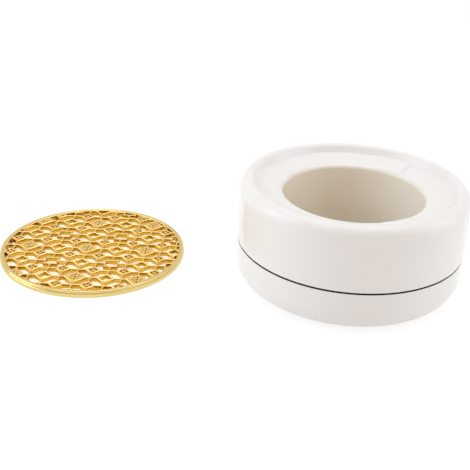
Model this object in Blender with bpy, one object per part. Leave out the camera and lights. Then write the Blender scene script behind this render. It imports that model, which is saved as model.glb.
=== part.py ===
"""Teapot warmer: a glazed porcelain ring with a tealight in its well, and its openwork brass plate beside it.

Metres, +Z up, standing on z = 0. The origin is the centre of the footprint of the whole set. The plate
lies on the table to the left of the ring, taken off, as it does while the tealight is lit.
"""
import math

import bmesh
import bpy

MM = 0.001

# Clearances
TOUCH_GAP = 0.3 * MM            # between two pieces where one rests on or in the other
PLATE_CLEARANCE = 0.5 * MM      # round the plate when it lies in the recess of the ring
PLATE_SINK = 0.1 * MM           # the top of the seated plate lies this far under the lip

# Openwork plate: the plain ring round it
PLATE_RADIUS = 61.5 * MM
PLATE_HEIGHT = 4.5 * MM
PLATE_RIM_WIDTH = 2.3 * MM
PLATE_RIM_SLOPE = 0.4 * MM      # the inner edge of the rim is this much lower than its top
PLATE_RIM_ROUND = 0.6 * MM
PLATE_GROOVE_HEIGHT = 2.8 * MM  # a fine groove runs round the outside of the rim
PLATE_GROOVE_WIDTH = 0.8 * MM
PLATE_GROOVE_DEPTH = 0.5 * MM
LEDGE_WIDTH = 1.2 * MM          # the ledge in the rim that carries the lattice
LEDGE_HEIGHT = 0.6 * MM

# Openwork plate: the lattice
LATTICE_THICKNESS = 3.1 * MM
LATTICE_BORDER = 0.5 * MM       # solid edge outside the outermost gaps
LATTICE_PITCH = 19.8 * MM       # from one motif to the next
LATTICE_TURN = math.radians(-1.0)
LATTICE_SHIFT_X = -3.6 * MM     # the middle rosette lies this far off the middle of the plate
LATTICE_SHIFT_Y = -1.7 * MM
STRAP_WIDTH = 1.25 * MM
DIAMOND_REACH = 5.1 * MM        # from the middle of a diamond to the middle of its strap, at a corner
SQUARE_HALF = 4.1 * MM          # from the middle of a square to the middle of its strap, at a side
ROSETTE_RADIUS = 5.4 * MM
PETAL_COUNT = 8
PETAL_INNER = 1.7 * MM
PETAL_OUTER = 4.3 * MM
PETAL_HALF_WIDTH = 0.75 * MM
RING_RADIUS = 3.55 * MM
RING_BORE = 2.35 * MM
RING_SIDES = 8
SMALLEST_GAP = 3.0 * MM * MM    # clipped gaps at the edge with less area are left solid

# Porcelain ring
LIP_WIDTH = 10.5 * MM           # from the recess to the outside of the wall
BODY_HEIGHT = 68.4 * MM
WALL = 4.5 * MM
LIP_OUTER_ROUND = 8.0 * MM
LIP_INNER_ROUND = 2.7 * MM
FOOT_ROUND = 13.5 * MM
FOOT_WIDTH = 3.5 * MM
FOOT_EDGE = 0.5 * MM
WELL_RADIUS = 44.6 * MM
WELL_EDGE_ROUND = 3.0 * MM
WELL_FLOOR_ROUND = 6.0 * MM
FLOOR_LIFT = 1.5 * MM           # the underside of the well is this far off the table
SEAT_DISH = 2.3 * MM            # the seat falls this much towards the well
SEAT_CORNER = 1.2 * MM
HOLLOW_ROUND = 4.0 * MM

# Three low rests on the seat leave an air gap under the plate
REST_COUNT = 3
REST_HEIGHT = 0.7 * MM          # above the seat, at the wall of the recess
REST_LEVEL = 5.2 * MM           # level part of a rest under the rim of the plate, from the wall of the recess
REST_END_HEIGHT = 0.9 * MM      # above the edge of the well, at the inner end
REST_AZIMUTH = math.radians(56.0)
REST_SPREAD = math.radians(25.0)
REST_STEPS = 4
REST_INSET = 2.4 * MM           # from the wall of the well to the end of a rest

# Black line of glaze round the wall, in a shallow groove
LINE_HEIGHT = 27.8 * MM
LINE_WIDTH = 1.25 * MM
LINE_DEPTH = 0.5 * MM

# Tealight
CUP_RADIUS = 19.0 * MM
CUP_HEIGHT = 16.0 * MM
CUP_WALL = 0.5 * MM
CUP_BEAD = 0.6 * MM             # the rolled edge stands this far out
CUP_CORNER = 1.5 * MM
WAX_HEIGHT = 12.0 * MM
WAX_EDGE_ROUND = 0.8 * MM
WICK_RADIUS = 0.8 * MM
WICK_LENGTH = 17.5 * MM
WICK_TIP = 0.5 * MM
SUSTAINER_RADIUS = 6.5 * MM
SUSTAINER_THICKNESS = 0.4 * MM
NECK_WALL = 0.4 * MM
NECK_HEIGHT = 3.4 * MM

# Where the plate lies, from the axis of the ring
PLATE_LEFT = 170.5 * MM
PLATE_BEHIND = 17.2 * MM

# Facets round the turned pieces
BODY_SEGMENTS = 60
PLATE_SEGMENTS = 60
CUP_SEGMENTS = 36
SMALL_SEGMENTS = 16

# Sizes that follow from the ones above
RECESS_RADIUS = PLATE_RADIUS + PLATE_CLEARANCE
BODY_RADIUS = RECESS_RADIUS + LIP_WIDTH
REST_TOP = BODY_HEIGHT - PLATE_SINK - PLATE_HEIGHT
SEAT_OUTER = REST_TOP - REST_HEIGHT
SEAT_INNER = SEAT_OUTER - SEAT_DISH
FLOOR_TOP = FLOOR_LIFT + WALL
RIM_BORE = PLATE_RADIUS - PLATE_RIM_WIDTH
LATTICE_RADIUS = RIM_BORE - TOUCH_GAP
LATTICE_LOW = LEDGE_HEIGHT + TOUCH_GAP
GAP_LIMIT = LATTICE_RADIUS - LATTICE_BORDER
HALF_PITCH = LATTICE_PITCH / 2
HALF_STRAP = STRAP_WIDTH / 2
ROOT_TWO = math.sqrt(2.0)

SET_LEFT = -PLATE_LEFT - PLATE_RADIUS
SET_FRONT = min(-BODY_RADIUS, PLATE_BEHIND - PLATE_RADIUS)
SET_BACK = max(BODY_RADIUS, PLATE_BEHIND + PLATE_RADIUS)
RING_X = -(SET_LEFT + BODY_RADIUS) / 2
RING_Y = -(SET_FRONT + SET_BACK) / 2
PLATE_X = RING_X - PLATE_LEFT
PLATE_Y = RING_Y + PLATE_BEHIND


def clear_scene():
    """Remove whatever the open file holds."""
    for thing in list(bpy.data.objects):
        bpy.data.objects.remove(thing, do_unlink=True)


def make_material(name, colour, roughness, metallic):
    """A plain surface of one colour."""
    material = bpy.data.materials.new(name)
    material.use_nodes = True
    shader = material.node_tree.nodes["Principled BSDF"]
    shader.inputs["Base Color"].default_value = (*colour, 1.0)
    shader.inputs["Roughness"].default_value = roughness
    shader.inputs["Metallic"].default_value = metallic
    return material


def make_group(name, x, y, z):
    """An empty on the axis along which its pieces are set down and lifted."""
    group = bpy.data.objects.new(name, None)
    group.location = (x, y, z)
    bpy.context.scene.collection.objects.link(group)
    return group


def make_piece(name, mesh_maker, material, group=None):
    """A named object from a bmesh, with its normals outwards."""
    bmesh.ops.recalc_face_normals(mesh_maker, faces=mesh_maker.faces)
    mesh = bpy.data.meshes.new(name)
    mesh_maker.to_mesh(mesh)
    mesh_maker.free()
    piece = bpy.data.objects.new(name, mesh)
    bpy.context.scene.collection.objects.link(piece)
    if material is not None:
        mesh.materials.append(material)
    piece.parent = group
    return piece


def make_cutter(name, mesh_maker, group=None):
    """A guide shape for a Boolean, which isn't part of the object."""
    cutter = make_piece(name, mesh_maker, None, group)
    cutter.hide_render = True
    cutter.display_type = "WIRE"
    return cutter


def combine(piece, other, operation):
    """Cut the other shape from a piece, or join it on."""
    boolean = piece.modifiers.new(other.name, "BOOLEAN")
    boolean.operation = operation
    boolean.solver = "EXACT"
    boolean.object = other


def shade_round(piece, sharp_degrees=35.0):
    """Smooth shading with the hard edges kept."""
    piece.data.shade_smooth()
    piece.data.set_sharp_from_angle(angle=math.radians(sharp_degrees))


def arc(centre_r, centre_z, radius, start, end, steps):
    """Points of an arc in the outline plane, angles in degrees from +r towards +z, both ends included."""
    points = []
    for step in range(steps + 1):
        angle = math.radians(start + (end - start) * step / steps)
        points.append((centre_r + radius * math.cos(angle), centre_z + radius * math.sin(angle)))
    return points


def turned(outline, segments):
    """Spin an outline of (r, z) points round Z. An outline that ends on the axis is closed by it."""
    maker = bmesh.new()
    verts = [maker.verts.new((r, 0.0, z)) for r, z in outline]
    edges = [maker.edges.new(pair) for pair in zip(verts, verts[1:])]
    if outline[0][0] > 0.0:
        edges.append(maker.edges.new((verts[-1], verts[0])))
    bmesh.ops.spin(
        maker, geom=verts + edges, cent=(0, 0, 0), axis=(0, 0, 1), dvec=(0, 0, 0),
        angle=math.tau, steps=segments, use_merge=True, use_duplicate=False,
    )
    bmesh.ops.remove_doubles(maker, verts=maker.verts, dist=1e-6)
    return maker


def prism(maker, outline, low, high):
    """Add a closed prism on an outline of (x, y) points to a bmesh."""
    lower = [maker.verts.new((x, y, low)) for x, y in outline]
    upper = [maker.verts.new((x, y, high)) for x, y in outline]
    maker.faces.new(reversed(lower))
    maker.faces.new(upper)
    for here in range(len(outline)):
        there = (here + 1) % len(outline)
        maker.faces.new((lower[here], lower[there], upper[there], upper[here]))


def body_outline():
    """Half section of the porcelain ring, from the underside of the well round to its floor."""
    hollow_inner = WELL_RADIUS + WALL
    hollow_outer = BODY_RADIUS - WALL
    hollow_top = SEAT_INNER - WALL
    foot_outer = BODY_RADIUS - FOOT_ROUND
    foot_inner = foot_outer - FOOT_WIDTH
    groove_radius = BODY_RADIUS - LINE_DEPTH - TOUCH_GAP
    groove_half = LINE_WIDTH / 2 + TOUCH_GAP
    lip_outer = BODY_RADIUS - LIP_OUTER_ROUND
    lip_inner = RECESS_RADIUS + LIP_INNER_ROUND
    well_edge = WELL_RADIUS + WELL_EDGE_ROUND

    underside = [(0.0, FLOOR_LIFT)]
    underside += arc(hollow_inner - WALL, FLOOR_LIFT + WALL, WALL, -90, 0, 2)
    underside += arc(hollow_inner + HOLLOW_ROUND, hollow_top - HOLLOW_ROUND, HOLLOW_ROUND, 180, 90, 2)
    underside += arc(hollow_outer - HOLLOW_ROUND, hollow_top - HOLLOW_ROUND, HOLLOW_ROUND, 90, 0, 2)
    foot = arc(foot_outer, FOOT_ROUND, FOOT_ROUND - WALL, 0, -90, 3)
    foot += [(foot_inner, WALL), (foot_inner, FOOT_EDGE), (foot_inner + FOOT_EDGE, 0.0)]
    foot += arc(foot_outer, FOOT_ROUND, FOOT_ROUND, -90, 0, 6)
    groove = [
        (BODY_RADIUS, LINE_HEIGHT - groove_half), (groove_radius, LINE_HEIGHT - groove_half),
        (groove_radius, LINE_HEIGHT + groove_half), (BODY_RADIUS, LINE_HEIGHT + groove_half),
    ]
    lip = arc(lip_outer, BODY_HEIGHT - LIP_OUTER_ROUND, LIP_OUTER_ROUND, 0, 90, 5)
    lip += arc(lip_inner, BODY_HEIGHT - LIP_INNER_ROUND, LIP_INNER_ROUND, 90, 180, 3)
    seat = arc(RECESS_RADIUS - SEAT_CORNER, SEAT_OUTER + SEAT_CORNER, SEAT_CORNER, 0, -90, 2)
    seat += arc(well_edge, SEAT_INNER - WELL_EDGE_ROUND, WELL_EDGE_ROUND, 90, 180, 4)
    floor = arc(WELL_RADIUS - WELL_FLOOR_ROUND, FLOOR_TOP + WELL_FLOOR_ROUND, WELL_FLOOR_ROUND, 0, -90, 3)
    floor += [(0.0, FLOOR_TOP)]
    return underside + foot + groove + lip + seat + floor


def add_rest(maker, azimuth):
    """Add one rest: level under the rim of the plate, and falling from there towards the well."""
    inner = WELL_RADIUS + REST_INSET
    outer = RECESS_RADIUS + LIP_INNER_ROUND / 2
    buried = SEAT_INNER - WALL / 2
    section = [
        (inner, buried), (outer, buried), (outer, REST_TOP),
        (RECESS_RADIUS - REST_LEVEL, REST_TOP), (inner, SEAT_INNER + REST_END_HEIGHT),
    ]
    rings = []
    for step in range(REST_STEPS + 1):
        turn = azimuth + REST_SPREAD * (step / REST_STEPS - 0.5)
        rings.append([maker.verts.new((r * math.cos(turn), r * math.sin(turn), z)) for r, z in section])
    maker.faces.new(reversed(rings[0]))
    maker.faces.new(rings[-1])
    for first, second in zip(rings, rings[1:]):
        for here in range(len(section)):
            there = (here + 1) % len(section)
            maker.faces.new((first[here], first[there], second[there], second[here]))


def make_body(material, group):
    """The porcelain ring with its well, seat and rests."""
    body = make_piece("warmer_body", turned(body_outline(), BODY_SEGMENTS), material, group)
    maker = bmesh.new()
    for rest in range(REST_COUNT):
        add_rest(maker, REST_AZIMUTH + math.tau * rest / REST_COUNT)
    combine(body, make_cutter("rest_guide", maker, group), "UNION")
    shade_round(body)


def make_line(material, group):
    """The black line, flush with the wall."""
    low = LINE_HEIGHT - LINE_WIDTH / 2
    high = LINE_HEIGHT + LINE_WIDTH / 2
    inner = BODY_RADIUS - LINE_DEPTH
    outline = [(inner, low), (BODY_RADIUS, low), (BODY_RADIUS, high), (inner, high)]
    shade_round(make_piece("black_line", turned(outline, BODY_SEGMENTS), material, group))


def make_rim(material, group):
    """The plain ring round the plate, with a fine groove outside and a ledge inside."""
    top = PLATE_HEIGHT
    round_off = PLATE_RIM_ROUND
    groove_half = PLATE_GROOVE_WIDTH / 2
    flat_outer = PLATE_RADIUS - PLATE_GROOVE_DEPTH / 2 - round_off
    outline = [(RIM_BORE - LEDGE_WIDTH, 0.0)]
    outline += arc(PLATE_RADIUS - round_off, round_off, round_off, -90, 0, 2)
    outline += [
        (PLATE_RADIUS, PLATE_GROOVE_HEIGHT - groove_half),
        (PLATE_RADIUS - PLATE_GROOVE_DEPTH, PLATE_GROOVE_HEIGHT),
        (PLATE_RADIUS - PLATE_GROOVE_DEPTH / 2, PLATE_GROOVE_HEIGHT + groove_half),
    ]
    outline += arc(flat_outer, top - round_off, round_off, 0, 90, 2)
    outline += [
        ((RIM_BORE + flat_outer) / 2, top),
        (RIM_BORE, top - PLATE_RIM_SLOPE),
        (RIM_BORE, LEDGE_HEIGHT),
        (RIM_BORE - LEDGE_WIDTH, LEDGE_HEIGHT),
    ]
    shade_round(make_piece("grille_rim", turned(outline, PLATE_SEGMENTS), material, group))


def mirrored(points, sign_x, sign_y):
    """A plan outline in another quadrant, still anticlockwise."""
    flipped = [(x * sign_x, y * sign_y) for x, y in points]
    return flipped if sign_x * sign_y > 0 else flipped[::-1]


def cell_outline(kind):
    """Gap between a motif at (0, 0) and the small ring at (HALF_PITCH, HALF_PITCH), anticlockwise."""
    near = HALF_STRAP
    far = HALF_PITCH - HALF_STRAP
    ring_cut = LATTICE_PITCH - RING_RADIUS * ROOT_TWO - far
    points = [(far, near), (far, ring_cut), (ring_cut, far), (near, far)]
    if kind == "square":
        side = SQUARE_HALF + HALF_STRAP
        points += [(near, side), (side, side), (side, near)]
    else:
        reach = DIAMOND_REACH + HALF_STRAP * ROOT_TWO
        if kind == "rosette":
            reach = ROSETTE_RADIUS * ROOT_TWO
        points += [(near, reach - near), (reach - near, near)]
    return points


def motif_outlines(kind):
    """Gaps inside one motif."""
    if kind == "square":
        half = SQUARE_HALF - HALF_STRAP
        return [[(half, half), (-half, half), (-half, -half), (half, -half)]]
    if kind == "diamond":
        reach = DIAMOND_REACH - HALF_STRAP * ROOT_TWO
        return [[(reach, 0.0), (0.0, reach), (-reach, 0.0), (0.0, -reach)]]
    petals = []
    middle = (PETAL_INNER + PETAL_OUTER) / 2
    for petal in range(PETAL_COUNT):
        turn = math.tau * petal / PETAL_COUNT
        along = (math.cos(turn), math.sin(turn))
        corners = [
            (PETAL_INNER, 0.0), (middle, -PETAL_HALF_WIDTH),
            (PETAL_OUTER, 0.0), (middle, PETAL_HALF_WIDTH),
        ]
        petals.append([(a * along[0] - b * along[1], a * along[1] + b * along[0]) for a, b in corners])
    return petals


def motif_kind(column, row):
    """Rosettes and squares alternate along the diagonals, with diamonds between them."""
    if (column + row) % 2:
        return "diamond"
    return "square" if column % 2 else "rosette"


def lattice_gaps():
    """Outline of every gap of the endless pattern near the plate, about the middle of the plate."""
    reach = int(LATTICE_RADIUS / LATTICE_PITCH) + 2
    gaps = []
    for column in range(-reach, reach + 1):
        for row in range(-reach, reach + 1):
            kind = motif_kind(column, row)
            local = [mirrored(cell_outline(kind), sx, sy) for sx in (1, -1) for sy in (1, -1)]
            local += motif_outlines(kind)
            turns = [math.tau * (side + 0.5) / RING_SIDES for side in range(RING_SIDES)]
            local.append([
                (HALF_PITCH + RING_BORE * math.cos(turn), HALF_PITCH + RING_BORE * math.sin(turn))
                for turn in turns
            ])
            for outline in local:
                gaps.append([placed(x + column * LATTICE_PITCH, y + row * LATTICE_PITCH) for x, y in outline])
    return gaps


def placed(x, y):
    """A point of the pattern, turned and shifted as the pattern lies on the plate."""
    cos_turn = math.cos(LATTICE_TURN)
    sin_turn = math.sin(LATTICE_TURN)
    return (x * cos_turn - y * sin_turn + LATTICE_SHIFT_X, x * sin_turn + y * cos_turn + LATTICE_SHIFT_Y)


def cut_by_line(outline, normal, reach):
    """Parts of an anticlockwise outline within reach of the middle of the plate, measured along a normal."""
    depths = [reach - x * normal[0] - y * normal[1] for x, y in outline]
    if min(depths) > 0.0:
        return [outline]
    runs = []
    first = depths.index(min(depths))
    for step in range(len(outline)):
        here = (first + step) % len(outline)
        there = (here + 1) % len(outline)
        if (depths[here] > 0.0) != (depths[there] > 0.0):
            share = depths[here] / (depths[here] - depths[there])
            crossing = tuple(a + (b - a) * share for a, b in zip(outline[here], outline[there]))
            if depths[there] > 0.0:
                runs.append([crossing])
            else:
                runs[-1].append(crossing)
        if depths[there] > 0.0:
            runs[-1].append(outline[there])
    return closed_along(runs, (-normal[1], normal[0]))


def closed_along(runs, direction):
    """Outlines from runs of corners, each run joined along the cutting line to the next one that comes in."""
    def place(corner):
        return corner[0] * direction[0] + corner[1] * direction[1]

    left = sorted(runs, key=lambda run: place(run[0]))
    in_order = list(left)
    outlines = []
    while left:
        run = left[0]
        outline = []
        while run in left:
            left.remove(run)
            outline += run
            run = next(other for other in in_order if place(other[0]) > place(run[-1]))
        outlines.append(outline)
    return outlines


def clip_to_edge(outline):
    """Cut an outline back to the circle inside the border of the lattice, one side of it at a time."""
    apothem = GAP_LIMIT * math.cos(math.pi / PLATE_SEGMENTS)
    outlines = [outline]
    for side in range(PLATE_SEGMENTS):
        turn = math.tau * (side + 0.5) / PLATE_SEGMENTS
        normal = (math.cos(turn), math.sin(turn))
        outlines = [part for whole in outlines for part in cut_by_line(whole, normal, apothem)]
    return outlines


def area(outline):
    """Area of a plan outline."""
    total = 0.0
    for (x1, y1), (x2, y2) in zip(outline, outline[1:] + outline[:1]):
        total += x1 * y2 - x2 * y1
    return abs(total) / 2


def make_lattice(material, group):
    """The openwork: a round plate with every gap of the pattern cut through it."""
    high = LATTICE_LOW + LATTICE_THICKNESS
    outline = [(0.0, LATTICE_LOW), (LATTICE_RADIUS, LATTICE_LOW), (LATTICE_RADIUS, high), (0.0, high)]
    lattice = make_piece("grille_lattice", turned(outline, PLATE_SEGMENTS), material, group)
    maker = bmesh.new()
    for gap in lattice_gaps():
        for part in clip_to_edge(gap):
            if part == gap or area(part) > SMALLEST_GAP:
                prism(maker, part, LATTICE_LOW - LATTICE_THICKNESS, high + LATTICE_THICKNESS)
    combine(lattice, make_cutter("gap_guide", maker, group), "DIFFERENCE")


def make_cup(material, group):
    """The thin metal cup of the tealight, with a rolled edge."""
    inner = CUP_RADIUS - CUP_WALL
    outline = [(0.0, 0.0)]
    outline += arc(CUP_RADIUS - CUP_CORNER, CUP_CORNER, CUP_CORNER, -90, 0, 2)
    outline += arc(CUP_RADIUS, CUP_HEIGHT - CUP_BEAD, CUP_BEAD, -90, 90, 4)
    outline += [(inner, CUP_HEIGHT)]
    outline += arc(inner - CUP_CORNER + CUP_WALL, CUP_CORNER, CUP_CORNER - CUP_WALL, 0, -90, 2)
    outline += [(0.0, CUP_WALL)]
    shade_round(make_piece("tealight_cup", turned(outline, CUP_SEGMENTS), material, group))


def make_wax(material, group):
    """The wax, hollow below for the plate of the sustainer and along the wick."""
    low = CUP_WALL + TOUCH_GAP
    high = CUP_WALL + WAX_HEIGHT
    outer = CUP_RADIUS - CUP_WALL - TOUCH_GAP
    corner = CUP_CORNER - CUP_WALL
    plate_hollow = SUSTAINER_RADIUS + TOUCH_GAP
    plate_roof = low + SUSTAINER_THICKNESS + TOUCH_GAP
    neck_hollow = WICK_RADIUS + 2 * TOUCH_GAP + NECK_WALL
    neck_roof = low + NECK_HEIGHT + TOUCH_GAP
    wick_hollow = WICK_RADIUS + TOUCH_GAP
    outline = [(plate_hollow, low)]
    outline += arc(outer - corner, low + corner, corner, -90, 0, 2)
    outline += arc(outer - WAX_EDGE_ROUND, high - WAX_EDGE_ROUND, WAX_EDGE_ROUND, 0, 90, 2)
    outline += [
        (wick_hollow, high), (wick_hollow, neck_roof), (neck_hollow, neck_roof),
        (neck_hollow, plate_roof), (plate_hollow, plate_roof),
    ]
    shade_round(make_piece("tealight_wax", turned(outline, CUP_SEGMENTS), material, group))


def make_sustainer(material, group):
    """The small plate with a neck that holds the wick upright."""
    low = CUP_WALL + TOUCH_GAP
    plate_top = low + SUSTAINER_THICKNESS
    bore = WICK_RADIUS + TOUCH_GAP
    neck = bore + NECK_WALL
    top = low + NECK_HEIGHT
    outline = [
        (0.0, low), (SUSTAINER_RADIUS, low), (SUSTAINER_RADIUS, plate_top), (neck, plate_top),
        (neck, top), (bore, top), (bore, plate_top), (0.0, plate_top),
    ]
    shade_round(make_piece("wick_sustainer", turned(outline, SMALL_SEGMENTS), material, group))


def make_wick(material, group):
    """The wick, standing in the neck of the sustainer."""
    low = CUP_WALL + SUSTAINER_THICKNESS + 2 * TOUCH_GAP
    high = low + WICK_LENGTH
    outline = [
        (0.0, low), (WICK_RADIUS, low), (WICK_RADIUS, high - WICK_TIP),
        (WICK_RADIUS - WICK_TIP, high), (0.0, high),
    ]
    shade_round(make_piece("wick", turned(outline, SMALL_SEGMENTS), material, group))


def main():
    clear_scene()
    porcelain = make_material("white_porcelain", (0.86, 0.85, 0.83), 0.12, 0.0)
    black_glaze = make_material("black_glaze", (0.02, 0.02, 0.02), 0.15, 0.0)
    brass = make_material("polished_brass", (0.92, 0.68, 0.26), 0.2, 1.0)
    cast_brass = make_material("cast_brass", (0.88, 0.62, 0.2), 0.3, 1.0)
    foil = make_material("thin_aluminium", (0.8, 0.8, 0.82), 0.3, 1.0)
    wax = make_material("white_wax", (0.9, 0.89, 0.85), 0.45, 0.0)
    tin = make_material("tinned_steel", (0.62, 0.62, 0.63), 0.35, 1.0)
    cotton = make_material("waxed_cotton", (0.85, 0.82, 0.74), 0.8, 0.0)

    warmer = make_group("warmer", RING_X, RING_Y, 0.0)
    tealight = make_group("tealight_lift", RING_X, RING_Y, FLOOR_TOP + TOUCH_GAP)
    plate = make_group("plate_lift", PLATE_X, PLATE_Y, 0.0)

    make_body(porcelain, warmer)
    make_line(black_glaze, warmer)
    make_rim(brass, plate)
    make_lattice(cast_brass, plate)
    make_cup(foil, tealight)
    make_wax(wax, tealight)
    make_sustainer(tin, tealight)
    make_wick(cotton, tealight)


main()
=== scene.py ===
"""Looks of a teapot warmer: a glazed porcelain ring, its openwork brass plate and a tealight in its well.

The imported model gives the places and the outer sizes. Each piece has an operator of its own, which builds
it from the sizes and colours in the property groups of the scene.
"""
import math

import bmesh
import bpy
from bpy.props import FloatProperty, FloatVectorProperty, IntProperty, PointerProperty
from mathutils import Matrix, Vector


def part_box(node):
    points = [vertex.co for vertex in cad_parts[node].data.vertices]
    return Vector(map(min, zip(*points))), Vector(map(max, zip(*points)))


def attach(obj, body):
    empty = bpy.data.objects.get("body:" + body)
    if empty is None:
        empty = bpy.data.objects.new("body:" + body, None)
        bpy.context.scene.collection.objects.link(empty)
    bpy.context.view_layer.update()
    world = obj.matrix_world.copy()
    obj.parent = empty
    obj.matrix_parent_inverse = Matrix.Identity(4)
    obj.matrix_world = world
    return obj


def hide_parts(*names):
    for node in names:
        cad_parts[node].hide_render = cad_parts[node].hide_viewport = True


bl_info = {
    "name": "Teapot Warmer",
    "version": (1, 0, 0),
    "blender": (4, 5, 0),
    "location": "View3D > Sidebar > Warmer",
    "description": "Builds a porcelain teapot warmer with its openwork brass plate and a tealight",
    "category": "Add Mesh",
}

MM = 0.001

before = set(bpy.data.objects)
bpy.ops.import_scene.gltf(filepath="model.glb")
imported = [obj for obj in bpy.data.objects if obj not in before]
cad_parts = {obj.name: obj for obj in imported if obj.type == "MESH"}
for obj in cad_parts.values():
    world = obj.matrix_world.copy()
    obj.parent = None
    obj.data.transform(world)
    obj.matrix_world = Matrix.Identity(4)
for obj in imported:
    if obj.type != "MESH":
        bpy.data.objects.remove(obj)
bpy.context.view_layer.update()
BODY_LOW, BODY_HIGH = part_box("warmer_body")
LINE_LOW, LINE_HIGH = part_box("black_line")
RIM_LOW, RIM_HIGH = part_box("grille_rim")
LATTICE_LOW, LATTICE_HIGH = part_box("grille_lattice")
CUP_LOW, CUP_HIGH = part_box("tealight_cup")
_, WAX_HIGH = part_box("tealight_wax")
HOLDER_LOW, HOLDER_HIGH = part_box("wick_sustainer")
WICK_LOW, WICK_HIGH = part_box("wick")


def middle(low, high):
    """The upright axis through a box, at the height of the table."""
    return Vector(((low.x + high.x) / 2, (low.y + high.y) / 2, 0.0))


def half_width(low, high):
    """Half of a box's width along X, the radius of a round piece."""
    return (high.x - low.x) / 2


RING_AXIS = middle(BODY_LOW, BODY_HIGH)
PLATE_AXIS = middle(RIM_LOW, RIM_HIGH)
CUP_RADIUS = 19.0 * MM
ACROSS = (1.0, 0.0, 0.0)
UP = (0.0, 0.0, 1.0)

FLOOR_RADIUS = 6.0
FLOOR_GAP = 0.02 * MM
LAMP_TARGET = (0.0, 0.0, 30.0 * MM)
LAMPS = {
    # side: (place, width, height), in metres
    "top": ((0.0, 0.1, 1.1), 1.2, 1.0),
    "left": ((-1.1, -0.1, 0.5), 0.8, 1.0),
    "right": ((1.1, -0.1, 0.5), 0.8, 1.0),
}


# Property helpers

def length(name, default, description, lowest=0.0):
    """A size in metres."""
    return FloatProperty(
        name=name, description=description, default=default, min=lowest,
        subtype="DISTANCE", unit="LENGTH", precision=5,
    )


def offset(name, default, description):
    """A place in metres, which may be negative."""
    return length(name, default, description, lowest=-10.0)


def angle(name, degrees, description):
    """An angle, given in degrees."""
    return FloatProperty(
        name=name, description=description, default=math.radians(degrees), subtype="ANGLE", unit="ROTATION",
    )


def amount(name, default, description, highest=1.0):
    """A plain number from zero up, shown as a slider."""
    return FloatProperty(
        name=name, description=description, default=default, min=0.0, max=highest, subtype="FACTOR",
    )


def power(name, default, description):
    """Power of a lamp in watts."""
    return FloatProperty(name=name, description=description, default=default, min=0.0, unit="POWER")


def count(name, default, description):
    """A whole number of things."""
    return IntProperty(name=name, description=description, default=default, min=1)


def colour(name, default, description):
    """A linear colour."""
    return FloatVectorProperty(
        name=name, description=description, default=default, size=3, min=0.0, max=1.0, subtype="COLOR",
    )


class RingShape(bpy.types.PropertyGroup):
    """Sizes of the porcelain ring."""

    outer_radius: length("Outer radius", half_width(BODY_LOW, BODY_HIGH), "Radius of the outer wall")
    height: length("Height", BODY_HIGH.z, "Height of the lip")
    recess_radius: length("Recess radius", 62.0 * MM, "Radius of the recess that takes the plate")
    wall: length("Wall", 4.5 * MM, "Thickness of the porcelain")
    lip_outer_round: length("Lip, outer rounding", 8.0 * MM, "Height of the rounding from wall to lip")
    lip_inner_round: length("Lip, inner rounding", 2.8 * MM, "Rounding from the lip to the recess")
    foot_round: length("Foot rounding", 13.5 * MM, "Rounding from the wall to the foot")
    foot_width: length("Foot width", 3.5 * MM, "Width of the foot ring")
    foot_edge: length("Foot edge", 0.5 * MM, "Rounding of the foot ring's inner edge")
    foot_root: length("Foot root", 1.0 * MM, "Rounding from the foot ring to the underside of the wall")
    seat_height: length("Seat height", 63.1 * MM, "Height of the seat at the wall of the recess")
    seat_dish: length("Seat dish", 2.3 * MM, "Fall of the seat towards the well")
    seat_corner: length("Seat corner", 1.6 * MM, "Rounding from the seat to the wall of the recess")
    recess_draft: angle("Recess draft", 29.0, "How far the wall of the recess leans outward")
    well_radius: length("Well radius", 44.6 * MM, "Radius of the well")
    well_edge_round: length("Well edge rounding", 3.0 * MM, "Rounding from the seat into the well")
    well_floor_round: length("Well floor rounding", 6.0 * MM, "Rounding from the well to its floor")
    floor_low: length("Underside", 1.5 * MM, "Height of the underside of the well")
    floor_high: length("Well floor", 6.0 * MM, "Height of the floor of the well")
    hollow_round: length("Hollow rounding", 4.0 * MM, "Rounding of the hollow under the seat")
    rest_count: count("Rests", 3, "Low rests on the seat, which carry the plate")
    rest_height: length("Rest height", 0.7 * MM, "Rest above the seat, at the wall of the recess")
    rest_level: length("Rest level", 5.2 * MM, "Level part of a rest, from the wall of the recess")
    rest_end_height: length("Rest end height", 0.9 * MM, "Inner end of a rest above the edge of the well")
    rest_inset: length("Rest inset", 2.4 * MM, "From the wall of the well to the end of a rest")
    rest_azimuth: angle("First rest", 56.0, "Direction of the first rest")
    rest_spread: angle("Rest spread", 25.0, "Length of a rest round the seat")
    rest_soft: angle("Rest softness", 2.6, "Length of the glazed slope at the side of a rest")
    rest_end_soft: length("Rest end softness", 1.8 * MM, "Length of the glazed slope at the end of a rest")
    line_depth: length("Line depth", 0.5 * MM, "Depth of the groove of the black line")
    line_thickness: length("Line thickness", 0.4 * MM, "Thickness of the black line")
    line_gap: length("Line gap", 0.01 * MM, "How far the black line lies below the wall")
    line_wobble: length("Line wobble", 0.07 * MM, "How far the edges of the hand-drawn line stray")
    segments: count("Segments", 240, "Facets round the ring")


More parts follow.
